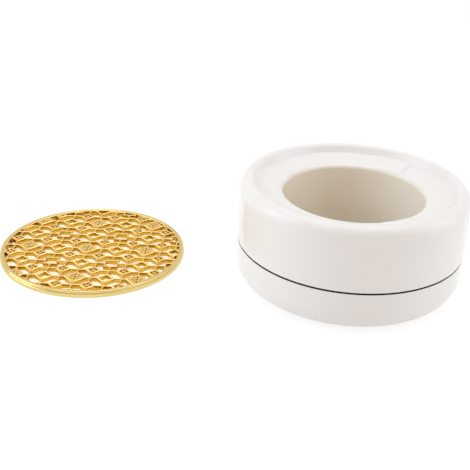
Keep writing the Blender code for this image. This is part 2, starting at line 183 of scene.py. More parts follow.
class GlazeFinish(bpy.types.PropertyGroup):
    """Colours and gloss of the porcelain and of the black line."""

    porcelain: colour("Porcelain", (0.84, 0.83, 0.82), "Glazed porcelain outside")
    warm: colour("Thick glaze", (0.82, 0.79, 0.755), "Where the glaze lies thicker")
    # The two well colours paint warm bounce light and shade inside the well: darker on the plate's side,
    # lighter on the far side.
    well: colour("Well", (0.815, 0.730, 0.585), "Glaze in the well, on the plate's side")
    well_lit_side: colour("Well, far side", (0.885, 0.840, 0.755), "Glaze in the well, on the other side")
    well_shade_until: offset("Plate's side up to", -10.0 * MM, "Where the colour of the well starts to change")
    well_lit_from: offset("Far side from", 40.0 * MM, "Where the colour of the well has changed")
    clouds: amount("Clouds", 0.14, "How far the outside takes the tint of the thick glaze in places")
    gloss: amount("Roughness", 0.12, "Roughness of the glaze")
    shine: amount("Shine", 0.38, "Strength of what the glaze mirrors")
    biscuit: colour("Foot ring", (0.70, 0.66, 0.60), "Bare porcelain of the foot ring")
    biscuit_gloss: amount("Foot ring, roughness", 0.65, "Roughness of the bare porcelain")
    line: colour("Line", (0.006, 0.006, 0.007), "Black line")
    line_thin: colour("Thin line", (0.028, 0.028, 0.031), "Black line where its glaze is thin")
    line_gloss: amount("Line, roughness", 0.14, "Roughness of the black line")
    line_shine: amount("Line, shine", 0.22, "Strength of what the black line mirrors")


class PlateShape(bpy.types.PropertyGroup):
    """Sizes of the openwork plate."""

    outer_radius: length("Outer radius", half_width(RIM_LOW, RIM_HIGH), "Radius of the plate")
    height: length("Height", RIM_HIGH.z - RIM_LOW.z, "Height of the rim")
    rim_width: length("Rim width", 2.3 * MM, "Width of the plain rim")
    rim_slope: length("Rim slope", 0.4 * MM, "How far the rim falls towards the openwork")
    rim_round: length("Rim rounding", 0.6 * MM, "Rounding of the edges of the rim")
    groove_height: length("Groove height", 2.8 * MM, "Height of the fine groove round the rim")
    groove_width: length("Groove width", 0.8 * MM, "Width of the groove")
    groove_depth: length("Groove depth", 0.5 * MM, "Depth of the groove")
    ledge_width: length("Ledge width", 1.2 * MM, "Ledge under the openwork")
    ledge_height: length("Ledge height", 0.6 * MM, "Height of the ledge")
    seam: length("Seam", 0.05 * MM, "Gap between the openwork and the rim")
    border: length("Border", 0.8 * MM, "Solid edge of the openwork, from the rim")
    pitch: length("Pitch", 19.8 * MM, "From one motif to the next")
    turn: angle("Turn", -1.0, "How far the pattern is turned on the plate")
    shift_x: offset("Shift X", -3.6 * MM, "Middle rosette from the middle of the plate")
    shift_y: offset("Shift Y", -1.7 * MM, "Middle rosette from the middle of the plate")
    strap: length("Strap", 1.2 * MM, "Width of the straps")
    strap_round: length("Strap rounding", 0.55 * MM, "Rounding of the top edges of the straps")
    fine_round: length("Fine rounding", 0.2 * MM, "Rounding of the edges of the pockets and the border")
    fine_depth: length("Fine depth", 0.9 * MM, "Depth of the pockets in the rosettes and small rings")
    corner_round: length("Corner rounding", 0.35 * MM, "Rounding of the corners of the gaps")
    diamond_reach: length("Diamond", 5.1 * MM, "Middle of a diamond to its strap, at a corner")
    diamond_strap: length("Diamond strap", 1.2 * MM, "Width of the straps of a diamond")
    square_half: length("Square", 4.1 * MM, "Middle of a square to its strap, at a side")
    rosette_radius: length("Rosette", 5.3 * MM, "Radius of a rosette")
    rosette_hole: length("Rosette hole", 0.9 * MM, "Radius of the pocket in the middle of a rosette")
    petals: count("Petals", 8, "Petals of a rosette")
    petal_inner: length("Petal, inner end", 1.5 * MM, "Inner end of a petal")
    petal_outer: length("Petal, outer end", 4.0 * MM, "Outer end of a petal")
    petal_half_width: length("Petal, half width", 0.48 * MM, "Half of the width of a petal")
    ring_radius: length("Small ring", 3.55 * MM, "Outer radius of the small rings")
    ring_bore: length("Small ring bore", 2.45 * MM, "Inner radius of the small rings")
    ring_boss: length("Small ring boss", 0.9 * MM, "Radius of the button in a small ring")
    ring_arm: length("Small ring arm", 0.5 * MM, "Width of the four arms of the button")
    segments: count("Segments", 240, "Facets round the plate")


class BrassFinish(bpy.types.PropertyGroup):
    """Colours and gloss of the brass."""

    rim: colour("Rim", (0.80, 0.63, 0.26), "Polished rim")
    top: colour("Openwork", (0.90, 0.61, 0.20), "Polished top of the openwork")
    # The gap colours paint shade: the walls of the gaps darker below the polished top, darkest near the
    # table.
    shaded_gap_and_dull: colour("Gaps", (0.62, 0.42, 0.06), "Walls of the gaps, under the top")
    low: colour("Foot of the gaps", (0.51, 0.30, 0.04), "Walls of the gaps, near the table")
    polish: amount("Roughness", 0.12, "Roughness of the polished faces")
    cast: amount("Roughness in the gaps", 0.18, "Roughness of the walls of the gaps")


class TealightShape(bpy.types.PropertyGroup):
    """Sizes of the tealight."""

    cup_radius: length("Cup radius", CUP_RADIUS, "Radius of the cup's wall")
    cup_sheet: length("Cup sheet", 0.2 * MM, "Thickness of the cup's sheet")
    cup_corner: length("Cup corner", 1.5 * MM, "Rounding from the floor to the wall")
    step_height: length("Floor step", 0.5 * MM, "Height of the raised middle of the cup's floor")
    step_radius: length("Floor step radius", 8.0 * MM, "Radius of the raised middle")
    step_slope: length("Floor step slope", 0.6 * MM, "Width of the slope round the raised middle")
    bead: length("Rolled edge", half_width(CUP_LOW, CUP_HIGH) - CUP_RADIUS, "Radius of the rolled edge")
    flutes: count("Flutes", 60, "Fine flutes round the wall")
    flute_depth: length("Flute depth", 0.09 * MM, "Depth of a flute")
    wax_foot: length("Wax foot", 1.0 * MM, "Underside of the wax above the foot of the cup")
    wax_gap: length("Wax gap", 0.05 * MM, "From the wax to the cup and the wick holder")
    wax_creep: length("Wax creep", 0.5 * MM, "How far the wax climbs the cup")
    wax_climb: amount("Climb at the wick", 0.8, "How far it climbs the wick, as a share of that")
    wax_ripple: length("Wax ripple", 0.04 * MM, "Height of the ripples on the wax")
    wick_radius: length("Wick radius", half_width(WICK_LOW, WICK_HIGH), "Radius of the wick")
    strands: count("Strands", 3, "Strands of the wick")
    strand_turns: amount("Strand turns", 5.5, "Turns of the strands along the wick", highest=40.0)
    neck_wall: length("Neck wall", 0.4 * MM, "Wall of the neck that holds the wick")
    holder_thickness: length("Holder thickness", 0.4 * MM, "Thickness of the wick holder's plate")
    crimps: count("Crimps", 4, "Places round the neck where it is pinched")
    crimp_depth: length("Crimp depth", 0.12 * MM, "How far the neck is pinched")


class TealightFinish(bpy.types.PropertyGroup):
    """Colours of the tealight."""

    foil: colour("Cup", (0.80, 0.81, 0.83), "Pressed aluminium")
    wax: colour("Wax", (0.86, 0.85, 0.81), "White wax")
    tin: colour("Wick holder", (0.60, 0.60, 0.61), "Tinned steel")
    cotton: colour("Wick", (0.84, 0.81, 0.73), "Waxed cotton")


class Studio(bpy.types.PropertyGroup):
    """Camera, lamps and floor."""

    camera_x: offset("Camera X", 10.5 * MM, "Place of the camera")
    camera_y: offset("Camera Y", -482.05 * MM, "Place of the camera")
    camera_z: offset("Camera Z", 264.1 * MM, "Place of the camera")
    pitch: angle("Pitch", 26.26, "How far the camera looks down")
    roll: angle("Roll", 2.46, "How far the camera is turned about its view")
    lens: FloatProperty(
        name="Lens", description="Focal length in millimetres", default=62.95, min=1.0,
        subtype="DISTANCE_CAMERA", unit="CAMERA",
    )
    shift_x: FloatProperty(name="Shift X", description="Shift of the view", default=-0.0163)
    shift_y: FloatProperty(name="Shift Y", description="Shift of the view", default=-0.0042)
    floor: colour("Floor", (0.94, 0.94, 0.94), "Pale floor")
    floor_glow: amount("Floor glow", 0.82, "What the seen floor adds to reach white")
    floor_shade: amount("Floor shade", 0.26, "How much of the seen floor is lit")
    under_glow: amount("Glow under the plate", 0.35, "What the floor seen under the plate adds")
    under_shade: amount("Shade under the plate", 1.42, "How much of the floor seen there is lit", highest=4.0)
    room: colour("Room", (0.638, 0.536, 0.482), "Even light from all round")
    sky: colour("Sky", (0.92, 0.89, 0.86), "What a mirror sees above and behind")
    front: colour("Front", (0.28, 0.26, 0.24), "What a mirror sees low down in front")
    lamp_tint: colour("Lamps", (0.775, 0.924, 1.0), "Colour of the lamps")
    top_power: power("Top lamp", 5.0, "Power of the lamp overhead")
    left_power: power("Left lamp", 6.15, "Power of the lamp on the plate's side")
    right_power: power("Right lamp", 4.2, "Power of the lamp on the ring's side")


# Meshes

def smooth_step(low, high, value):
    """0 below low, 1 above high, and a soft slope between them."""
    share = min(1.0, max(0.0, (value - low) / (high - low)))
    return share * share * (3.0 - 2.0 * share)


def arc(centre_r, centre_z, radius, start, end, steps):
    """Points of an arc in the outline plane, angles in degrees from +r towards +z, both ends included."""
    points = []
    for step in range(steps + 1):
        turn = math.radians(start + (end - start) * step / steps)
        points.append((centre_r + radius * math.cos(turn), centre_z + radius * math.sin(turn)))
    return points


def straight(start, end, steps):
    """Points between two others, neither included."""
    shares = [step / steps for step in range(1, steps)]
    return [(start[0] + (end[0] - start[0]) * s, start[1] + (end[1] - start[1]) * s) for s in shares]


def even_turns(segments):
    """Angles spread evenly round an axis."""
    return [math.tau * segment / segments for segment in range(segments)]


def turned(outline, axis, turns, shaped=None):
    """Bmesh of an outline of (r, z) points turned round an axis, shaped point by point where asked.

    An outline that starts and ends on the axis is closed by its poles, and any other by its last side.
    """
    maker = bmesh.new()
    rings = []
    for r, z in outline:
        if r == 0.0:
            rings.append([maker.verts.new((axis.x, axis.y, z))])
            continue
        ring = []
        for turn in turns:
            there_r, there_z = shaped(r, z, turn) if shaped else (r, z)
            place = (axis.x + there_r * math.cos(turn), axis.y + there_r * math.sin(turn), there_z)
            ring.append(maker.verts.new(place))
        rings.append(ring)
    pairs = list(zip(rings, rings[1:]))
    if len(rings[0]) > 1:
        pairs.append((rings[-1], rings[0]))
    size = len(turns)
    for first, second in pairs:
        for here in range(size):
            there = (here + 1) % size
            if len(first) == 1:
                maker.faces.new((first[0], second[there], second[here]))
            elif len(second) == 1:
                maker.faces.new((first[here], first[there], second[0]))
            else:
                maker.faces.new((first[here], first[there], second[there], second[here]))
    bmesh.ops.recalc_face_normals(maker, faces=maker.faces)
    return maker


def placed(name, mesh, sharp_degrees):
    """An object at the origin for a mesh, smooth but for its hard edges."""
    mesh.name = name
    mesh.shade_smooth()
    mesh.set_sharp_from_angle(angle=math.radians(sharp_degrees))
    piece = bpy.data.objects.new(name, mesh)
    bpy.context.scene.collection.objects.link(piece)
    return piece


def new_piece(name, maker, material=None, sharp_degrees=35.0):
    """An object from a bmesh, with its material where it has one."""
    mesh = bpy.data.meshes.new(name)
    maker.to_mesh(mesh)
    maker.free()
    if material is not None:
        mesh.materials.append(material)
    return placed(name, mesh, sharp_degrees)


def settle(piece, body, node):
    """The piece rides with its body, and the node of the model that it stands for is hidden."""
    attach(piece, body)
    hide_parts(node)


# Nodes and materials

def fill(tree, node, inputs):
    """Give inputs of a node their values or links."""
    for key, value in inputs.items():
        if isinstance(value, bpy.types.NodeSocket):
            tree.links.new(value, node.inputs[key])
        else:
            node.inputs[key].default_value = value


def put(tree, kind, inputs=None, **settings):
    """Add a node, set it up and fill its inputs."""
    node = tree.nodes.new(kind)
    for key, value in settings.items():
        setattr(node, key, value)
    fill(tree, node, inputs or {})
    return node


def maths(tree, operation, *values):
    """Result of a calculation on values or links."""
    return put(tree, "ShaderNodeMath", dict(enumerate(values)), operation=operation).outputs[0]


def shade(tint):
    """A colour with its alpha."""
    return (*tint, 1.0)


def toned(tint, share):
    """A colour with each of its parts times a share."""
    return [value * share for value in tint]


def new_material(name):
    """A material, its node tree and its Principled shader."""
    material = bpy.data.materials.new(name)
    material.use_nodes = True
    return material, material.node_tree, material.node_tree.nodes["Principled BSDF"]


def centred_place(tree, axis):
    """Object coordinates counted from an upright axis."""
    coordinate = put(tree, "ShaderNodeTexCoord").outputs["Object"]
    inputs = {"Vector": coordinate, "Location": (-axis.x, -axis.y, 0.0)}
    return put(tree, "ShaderNodeMapping", inputs).outputs[0]


def off_axis(tree, place):
    """Distance of a centred place from its axis."""
    flat = put(tree, "ShaderNodeVectorMath", {0: place, 1: (1.0, 1.0, 0.0)}, operation="MULTIPLY")
    return put(tree, "ShaderNodeVectorMath", {0: flat.outputs[0]}, operation="LENGTH").outputs["Value"]


def along(tree, place, direction):
    """How far a place lies in a direction."""
    node = put(tree, "ShaderNodeVectorMath", {0: place, 1: direction}, operation="DOT_PRODUCT")
    return node.outputs["Value"]


def ramp(tree, value, low, high, start=0.0, end=1.0):
    """A value that goes smoothly from start to end as its input goes from low to high."""
    node = put(tree, "ShaderNodeMapRange", {
        "Value": value, "From Min": low, "From Max": high, "To Min": start, "To Max": end,
    }, interpolation_type="SMOOTHSTEP")
    return node.outputs["Result"]


def noise(tree, place, scale, detail=3.0):
    """Noise with so many lumps to the metre."""
    inputs = {"Vector": place, "Scale": scale, "Detail": detail}
    return put(tree, "ShaderNodeTexNoise", inputs).outputs["Fac"]


def blend(tree, share, first, second, kind="RGBA"):
    """Mix two colours, or two numbers where the kind is FLOAT."""
    node = put(tree, "ShaderNodeMix", data_type=kind)
    for key, value in (("Factor", share), ("A", first), ("B", second)):
        socket = next(s for s in node.inputs if s.name == key and s.enabled)
        if isinstance(value, bpy.types.NodeSocket):
            tree.links.new(value, socket)
        else:
            socket.default_value = shade(value) if socket.type == "RGBA" else value
    return next(s for s in node.outputs if s.enabled)


def bump(tree, height, depth, strength, under=None):
    """Relief from a height, on top of another relief where given."""
    inputs = {"Height": height, "Distance": depth, "Strength": strength}
    if under is not None:
        inputs["Normal"] = under
    return put(tree, "ShaderNodeBump", inputs).outputs["Normal"]


def porcelain_material(ring, finish):
    """Glazed porcelain: gently uneven glaze, a bare foot ring, and painted shade and warm bounce light in the
    well, darker on the plate's side.
    """
    material, tree, shader = new_material("glazed_porcelain")
    place = centred_place(tree, RING_AXIS)
    radius = off_axis(tree, place)
    height = along(tree, place, UP)
    within = ramp(tree, radius, ring.well_radius + 1.2 * MM, ring.well_radius - 0.5 * MM)
    above = ramp(tree, height, ring.floor_low + 1.0 * MM, ring.floor_high - 1.0 * MM)
    # Painted shade and warm bounce light in the well: darker and warmer on the plate's side, lighter on the
    # far side.
    side = ramp(tree, along(tree, place, ACROSS), finish.well_shade_until, finish.well_lit_from)
    inside = blend(tree, side, finish.well, finish.well_lit_side)
    clouds = ramp(tree, noise(tree, place, scale=16.0, detail=2.0), 0.35, 0.75, 0.0, finish.clouds)
    outside = blend(tree, clouds, finish.porcelain, finish.warm)
    glazed = blend(tree, maths(tree, "MULTIPLY", within, above), outside, inside)
    foot_inner = ring.outer_radius - ring.foot_round - ring.foot_width
    lowest = ramp(tree, height, 0.9 * MM, 0.3 * MM)
    bare = maths(tree, "MULTIPLY", lowest, ramp(tree, radius, foot_inner - 1.0 * MM, foot_inner))
    streaks = noise(tree, place, scale=60.0, detail=2.0)
    rough = ramp(tree, streaks, 0.3, 0.8, finish.gloss, finish.gloss + 0.05)
    swell = bump(tree, noise(tree, place, scale=24.0, detail=1.0), 0.35 * MM, 0.6)
    fill(tree, shader, {
        "Base Color": blend(tree, bare, glazed, finish.biscuit),
        "Roughness": blend(tree, bare, rough, finish.biscuit_gloss, "FLOAT"),
        "Specular IOR Level": finish.shine,
        "Normal": bump(tree, noise(tree, place, scale=420.0, detail=2.0), 0.006 * MM, 0.8, swell),
    })
    return material


def line_material(finish):
    """Black glaze of the line, a little uneven as it left the brush."""
    material, tree, shader = new_material("black_glaze")
    place = centred_place(tree, RING_AXIS)
    thin = ramp(tree, noise(tree, place, scale=260.0), 0.45, 0.8, 0.0, 0.5)
    fill(tree, shader, {
        "Base Color": blend(tree, thin, finish.line, finish.line_thin),
        "Roughness": finish.line_gloss,
        "Specular IOR Level": finish.line_shine,
        "Normal": bump(tree, noise(tree, place, scale=500.0, detail=2.0), 0.01 * MM, 0.8),
    })
    return material


def rim_material(finish):
    """Polished brass with the last traces of turning."""
    material, tree, shader = new_material("polished_brass")
    place = centred_place(tree, PLATE_AXIS)
    dull = ramp(tree, noise(tree, place, scale=45.0), 0.35, 0.75)
    radians_to_the_metre = 22000.0
    turning = maths(tree, "SINE", maths(tree, "MULTIPLY", off_axis(tree, place), radians_to_the_metre))
    swell = bump(tree, noise(tree, place, scale=90.0, detail=2.0), 0.05 * MM, 0.6)
    fill(tree, shader, {
        "Base Color": blend(tree, maths(tree, "MULTIPLY", dull, 0.1), finish.rim, finish.shaded_gap_and_dull),
        "Metallic": 1.0,
        "Roughness": ramp(tree, dull, 0.0, 1.0, finish.polish, finish.polish + 0.06),
        "Normal": bump(tree, turning, 0.001 * MM, 0.6, swell),
    })
    return material


def openwork_material(finish):
    """Cast brass, polished on its top faces and duller in the gaps, with painted shade that darkens the gaps,
    most of all near the table.
    """
    material, tree, shader = new_material("cast_brass")
    place = centred_place(tree, PLATE_AXIS)
    height = along(tree, place, UP)
    top = LATTICE_HIGH.z
    # Painted shade: the walls of the gaps darker below the top, darkest near the table.
    sunk = ramp(tree, height, top - 0.25 * MM, top - 0.9 * MM)
    raised = ramp(tree, height, LATTICE_LOW.z + 0.7 * MM, top - 0.8 * MM)
    grain = bump(tree, noise(tree, place, scale=1400.0), 0.03 * MM, 0.5)
    fill(tree, shader, {
        "Base Color": blend(tree, sunk, finish.top, blend(tree, raised, finish.low, finish.shaded_gap_and_dull)),
        "Metallic": 1.0,
        "Roughness": ramp(tree, sunk, 0.0, 1.0, finish.polish, finish.cast),
        "Normal": bump(tree, noise(tree, place, scale=150.0, detail=2.0), 0.06 * MM, 0.6, grain),
    })
    return material


def foil_material(finish):
    """Thin pressed aluminium with a soft grain."""
    material, tree, shader = new_material("thin_aluminium")
    place = centred_place(tree, RING_AXIS)
    smear = noise(tree, place, scale=120.0, detail=4.0)
    dull = ramp(tree, smear, 0.35, 0.8, 0.0, 0.5)
    fill(tree, shader, {
        "Base Color": blend(tree, dull, finish.foil, toned(finish.foil, 0.8)),
        "Metallic": 1.0,
        "Roughness": ramp(tree, smear, 0.3, 0.8, 0.22, 0.36),
        "Normal": bump(tree, noise(tree, place, scale=900.0), 0.02 * MM, 0.6),
    })
    return material


def wax_material(finish):
    """White wax: soft inside, slightly mottled, with a dull bloom."""
    material, tree, shader = new_material("white_wax")
    place = centred_place(tree, RING_AXIS)
    mottle = ramp(tree, noise(tree, place, scale=240.0, detail=4.0), 0.4, 0.75, 0.0, 0.35)
    fill(tree, shader, {
        "Base Color": blend(tree, mottle, finish.wax, toned(finish.wax, 0.94)),
        "Roughness": 0.42,
        "Subsurface Weight": 0.25,
        "Subsurface Radius": (1.0, 0.8, 0.6),
        "Subsurface Scale": 2.0 * MM,
        "Normal": bump(tree, noise(tree, place, scale=300.0), 0.08 * MM, 0.6),
    })
    return material


def tin_material(finish):
    """Tinned steel of the wick holder."""
    material, tree, shader = new_material("tinned_steel")
    smear = noise(tree, centred_place(tree, RING_AXIS), scale=700.0, detail=4.0)
    dull = ramp(tree, smear, 0.35, 0.8, 0.0, 0.6)
    fill(tree, shader, {
        "Base Color": blend(tree, dull, finish.tin, toned(finish.tin, 0.75)),
        "Metallic": 1.0,
        "Roughness": ramp(tree, smear, 0.3, 0.8, 0.3, 0.45),
    })
    return material


def cotton_material(finish):
    """Waxed cotton strands."""
    material, tree, shader = new_material("waxed_cotton")
    fibre = noise(tree, centred_place(tree, RING_AXIS), scale=2600.0)
    fill(tree, shader, {
        "Base Color": blend(tree, ramp(tree, fibre, 0.35, 0.7), toned(finish.cotton, 0.72), finish.cotton),
        "Roughness": 0.7,
        "Sheen Weight": 0.3,
        "Normal": bump(tree, fibre, 0.1 * MM, 0.8),
    })
    return material


# Porcelain ring

def ring_outline(ring):
    """Half section of the ring, from the underside of the well round to its floor."""
    hollow_inner = ring.well_radius + ring.wall
    hollow_outer = ring.outer_radius - ring.wall
    seat_inner = ring.seat_height - ring.seat_dish
    hollow_top = seat_inner - ring.wall
    hollow_round = ring.hollow_round
    foot_outer = ring.outer_radius - ring.foot_round
    foot_inner = foot_outer - ring.foot_width
    well_edge = ring.well_radius + ring.well_edge_round
    corner_middle = ring.recess_radius - ring.seat_corner
    bed = ring.outer_radius - ring.line_depth
    fall = math.degrees(math.atan2(ring.seat_dish, corner_middle - well_edge))
    rounds = ring.lip_inner_round + ring.seat_corner
    rise = ring.height - ring.seat_height - rounds * (1.0 - math.sin(ring.recess_draft))
    crest = corner_middle + rounds * math.cos(ring.recess_draft) + rise * math.tan(ring.recess_draft)
    draft = math.degrees(ring.recess_draft)
    lip_share = (ring.outer_radius - crest) / ring.lip_outer_round
    lip = arc(0.0, ring.height - ring.lip_outer_round, ring.lip_outer_round, 0, 90, 20)

    outline = [(0.0, ring.floor_low)]
    outline += arc(ring.well_radius, ring.floor_low + ring.wall, ring.wall, -90, 0, 8)
    outline += arc(hollow_inner + hollow_round, hollow_top - hollow_round, hollow_round, 180, 90, 8)
    outline += arc(hollow_outer - hollow_round, hollow_top - hollow_round, hollow_round, 90, 0, 8)
    outline += arc(foot_outer, ring.foot_round, ring.foot_round - ring.wall, 0, -90, 10)
    outline += arc(foot_inner + ring.foot_root, ring.wall - ring.foot_root, ring.foot_root, 90, 180, 4)
    outline += arc(foot_inner + ring.foot_edge, ring.foot_edge, ring.foot_edge, 180, 270, 4)
    outline += arc(foot_outer, ring.foot_round, ring.foot_round, -90, 0, 24)
    outline += [(ring.outer_radius, LINE_LOW.z), (bed, LINE_LOW.z)]
    outline += [(bed, LINE_HIGH.z), (ring.outer_radius, LINE_HIGH.z)]
    outline += [(crest + r * lip_share, z) for r, z in lip]
    outline += arc(crest, ring.height - ring.lip_inner_round, ring.lip_inner_round, 90, 180 - draft, 10)[1:]
    seat_round = ring.seat_corner
    seat_start = arc(corner_middle, ring.seat_height + seat_round, seat_round, -draft, fall - 90, 6)
    seat_end = arc(well_edge, seat_inner - ring.well_edge_round, ring.well_edge_round, 90 - fall, 180, 14)
    outline += seat_start + straight(seat_start[-1], seat_end[0], 12) + seat_end
    floor_round = ring.well_floor_round
    outline += arc(ring.well_radius - floor_round, ring.floor_high + floor_round, floor_round, 0, -90, 10)
    outline += [(0.0, ring.floor_high)]
    return outline


def rest_middles(ring):
    """Directions of the rests on the seat."""
    return [ring.rest_azimuth + turn for turn in even_turns(ring.rest_count)]


def off_by(first, second):
    """Angle between two directions."""
    return abs((first - second + math.pi) % math.tau - math.pi)


def ring_turns(ring):
    """Directions of the facets, closer together at the ends of the rests."""
    turns = even_turns(ring.segments)
    steps = 6
    for azimuth in rest_middles(ring):
        for side in (-1.0, 1.0):
            end = azimuth + side * ring.rest_spread / 2
            turns += [(end + ring.rest_soft * step / steps) % math.tau for step in range(1 - steps, steps)]
    turns.sort()
    kept = [turns[0]]
    for turn in turns[1:]:
        if turn - kept[-1] > ring.rest_soft / steps / 2:
            kept.append(turn)
    return kept


def build_ring(ring, finish):
    """The porcelain ring, with three soft-edged rests on its seat."""
    middles = rest_middles(ring)
    seat_inner = ring.seat_height - ring.seat_dish
    level_top = ring.seat_height + ring.rest_height
    level_from = ring.recess_radius - ring.rest_level
    end_top = seat_inner + ring.rest_end_height
    end_from = ring.well_radius + ring.rest_inset
    lowest = seat_inner - ring.well_edge_round
    widest = ring.recess_radius + 0.1 * MM

    def rest_top(r):
        share = min(1.0, max(0.0, (r - end_from) / (level_from - end_from)))
        return end_top + (level_top - end_top) * share

    def with_rests(r, z, turn):
        top = rest_top(r)
        if z < lowest or z > top or r > widest:
            return r, z
        away = min(off_by(turn, azimuth) for azimuth in middles)
        round_it = 1.0 - smooth_step(ring.rest_spread / 2 - ring.rest_soft, ring.rest_spread / 2, away)
        along_it = smooth_step(end_from - ring.rest_end_soft, end_from + ring.rest_end_soft, r)
        return r, z + (top - z) * round_it * along_it

    maker = turned(ring_outline(ring), RING_AXIS, ring_turns(ring), with_rests)
    piece = new_piece("porcelain_ring", maker, porcelain_material(ring, finish))
    settle(piece, "warmer", "warmer_body")


def build_line(ring, finish):
    """The black line, which fills its groove and strays a little, as a brush does."""
    centre = (LINE_LOW.z + LINE_HIGH.z) / 2
    half = (LINE_HIGH.z - LINE_LOW.z) / 2
    outer = half_width(LINE_LOW, LINE_HIGH) - ring.line_gap
    inner = outer - ring.line_thickness
    # waves round the ring, start and share of each tremble of the hand
    trembles = ((7, 0.4, 1.0), (17, 1.9, 0.6), (41, 0.0, 0.4))

    def strayed(r, z, turn):
        wave = sum(share * math.sin(waves * turn + start) for waves, start, share in trembles)
        edge = half - ring.line_wobble * (1.0 + wave / 2.0) / 2.0
        return r, centre + (edge if z > centre else -edge)

    outline = [(inner, LINE_LOW.z), (outer, LINE_LOW.z), (outer, LINE_HIGH.z), (inner, LINE_HIGH.z)]
    maker = turned(outline, RING_AXIS, even_turns(ring.segments), strayed)
    piece = new_piece("painted_line", maker, line_material(finish))
    settle(piece, "warmer", "black_line")


# Openwork plate

def build_rim(plate, finish):
    """The plain rim, with rounded edges, a fine groove outside and a ledge inside."""
    low = RIM_LOW.z
    top = low + plate.height
    radius = plate.outer_radius
    bore = radius - plate.rim_width
    soft = plate.rim_round
    groove = low + plate.groove_height
    half = plate.groove_width / 2
    upper_edge = radius - plate.groove_depth / 2 - soft
    outline = [(bore - plate.ledge_width, low)]
    outline += arc(radius - soft, low + soft, soft, -90, 0, 8)
    outline += arc(radius - plate.groove_depth / 2, groove - half, plate.groove_depth / 2, 0, 90, 4)
    outline += [(radius - plate.groove_depth, groove)]
    outline += arc(upper_edge, top - soft, soft, 0, 90, 8)
    outline += straight((upper_edge, top), (bore + soft / 2, top - plate.rim_slope), 4)
    outline += arc(bore + soft / 2, top - plate.rim_slope - soft / 2, soft / 2, 90, 180, 4)
    outline += [(bore, low + plate.ledge_height), (bore - plate.ledge_width, low + plate.ledge_height)]
    maker = turned(outline, PLATE_AXIS, even_turns(plate.segments))
    piece = new_piece("plate_rim", maker, rim_material(finish), sharp_degrees=40.0)
    settle(piece, "plate", "grille_rim")


def sides(outline):
    """Each corner of a plan outline with the one before it and the one after it."""
    return zip(outline[-1:] + outline[:-1], outline, outline[1:] + outline[:1])


def widened(outline, distance):
    """An anticlockwise outline with every side moved outwards."""
    wider = []
    for before, here, after in sides(outline):
        one = Vector((here[0] - before[0], here[1] - before[1])).normalized()
        two = Vector((after[0] - here[0], after[1] - here[1])).normalized()
        out_one = Vector((one.y, -one.x))
        out_two = Vector((two.y, -two.x))
        step = (out_one + out_two) * (distance / (1.0 + out_one.dot(out_two)))
        wider.append((here[0] + step.x, here[1] + step.y))
    return wider


def softened(outline, radius):
    """An anticlockwise outline with its outward corners rounded by three short sides."""
    soft = []
    most = 0.4  # of the length of a side
    for before, here, after in sides(outline):
        here = Vector(here)
        back = Vector(before) - here
        forth = Vector(after) - here
        if back.cross(forth) > 0.0:
            soft.append(tuple(here))
            continue
        reach = min(radius, back.length * most, forth.length * most)
        start = here + back.normalized() * reach
        end = here + forth.normalized() * reach
        for share in (0.0, 0.33, 0.67, 1.0):
            point = start * (1 - share) ** 2 + here * 2 * share * (1 - share) + end * share ** 2
            soft.append((point.x, point.y))
    return soft


def cell_outline(plate, kind):
    """Gap between a motif at (0, 0) and the small ring half a pitch away, anticlockwise."""
    near = plate.strap / 2
    half_pitch = plate.pitch / 2
    far = half_pitch - near
    ring_cut = plate.pitch - plate.ring_radius * math.sqrt(2.0) - far
    points = [(far, near), (far, ring_cut), (ring_cut, far), (near, far)]
    if kind == "square":
        side = plate.square_half + near
        return points + [(near, side), (side, side), (side, near)]
    reach = plate.diamond_reach + near * math.sqrt(2.0)
    if kind == "rosette":
        reach = plate.rosette_radius * math.sqrt(2.0)
    return points + [(near, reach - near), (reach - near, near)]


def quarter_turns(outline):
    """An outline and its copies turned by a quarter, a half and three quarters."""
    copies = [outline]
    for _ in range(3):
        copies.append([(-y, x) for x, y in copies[-1]])
    return copies


def mirrored_cells(outline):
    """An outline in all four quadrants, each anticlockwise."""
    return [
        outline,
        [(-x, y) for x, y in reversed(outline)],
        [(-x, -y) for x, y in outline],
        [(x, -y) for x, y in reversed(outline)],
    ]


def polar(radius, turn):
    """Point at a distance and an angle from the middle of a motif."""
    return radius * math.cos(turn), radius * math.sin(turn)


def rosette_outlines(plate):
    """Pointed pockets of a rosette, round a small one in its middle."""
    outlines = []
    steps = 4
    span = plate.petal_outer - plate.petal_inner
    lower = []
    for step in range(steps + 1):
        share = step / steps
        lower.append((plate.petal_inner + span * share, -plate.petal_half_width * math.sin(math.pi * share)))
    upper = [(x, -y) for x, y in reversed(lower[1:-1])]
    for turn in even_turns(plate.petals):
        direction = Matrix.Rotation(turn, 2)
        outlines.append([tuple(direction @ Vector(point)) for point in lower + upper])
    outlines.append([polar(plate.rosette_hole, turn) for turn in even_turns(12)])
    return outlines


def ring_outlines(plate):
    """Four pockets in a small ring, between the arms of its button."""
    outline = []
    for radius, way, steps in ((plate.ring_bore, 1.0, 6), (plate.ring_boss, -1.0, 3)):
        reach = math.pi / 4 - math.asin(plate.ring_arm / 2 / radius)
        outline += [polar(radius, way * reach * (2 * step / steps - 1.0)) for step in range(steps + 1)]
    return quarter_turns(outline)


def motif_outlines(plate, kind):
    """Gaps and pockets that belong to one motif, with the cells round it."""
    if kind == "ring":
        return [], ring_outlines(plate)
    near = plate.strap / 2
    cells = mirrored_cells(softened(cell_outline(plate, kind), plate.corner_round))
    if kind == "rosette":
        return cells, rosette_outlines(plate)
    if kind == "square":
        reach = plate.square_half - near
        hole = [(reach, reach), (-reach, reach), (-reach, -reach), (reach, -reach)]
    else:
        reach = plate.diamond_reach + (near - plate.diamond_strap) * math.sqrt(2.0)
        hole = [(reach, 0.0), (0.0, reach), (-reach, 0.0), (0.0, -reach)]
    return cells + [softened(hole, plate.corner_round)], []


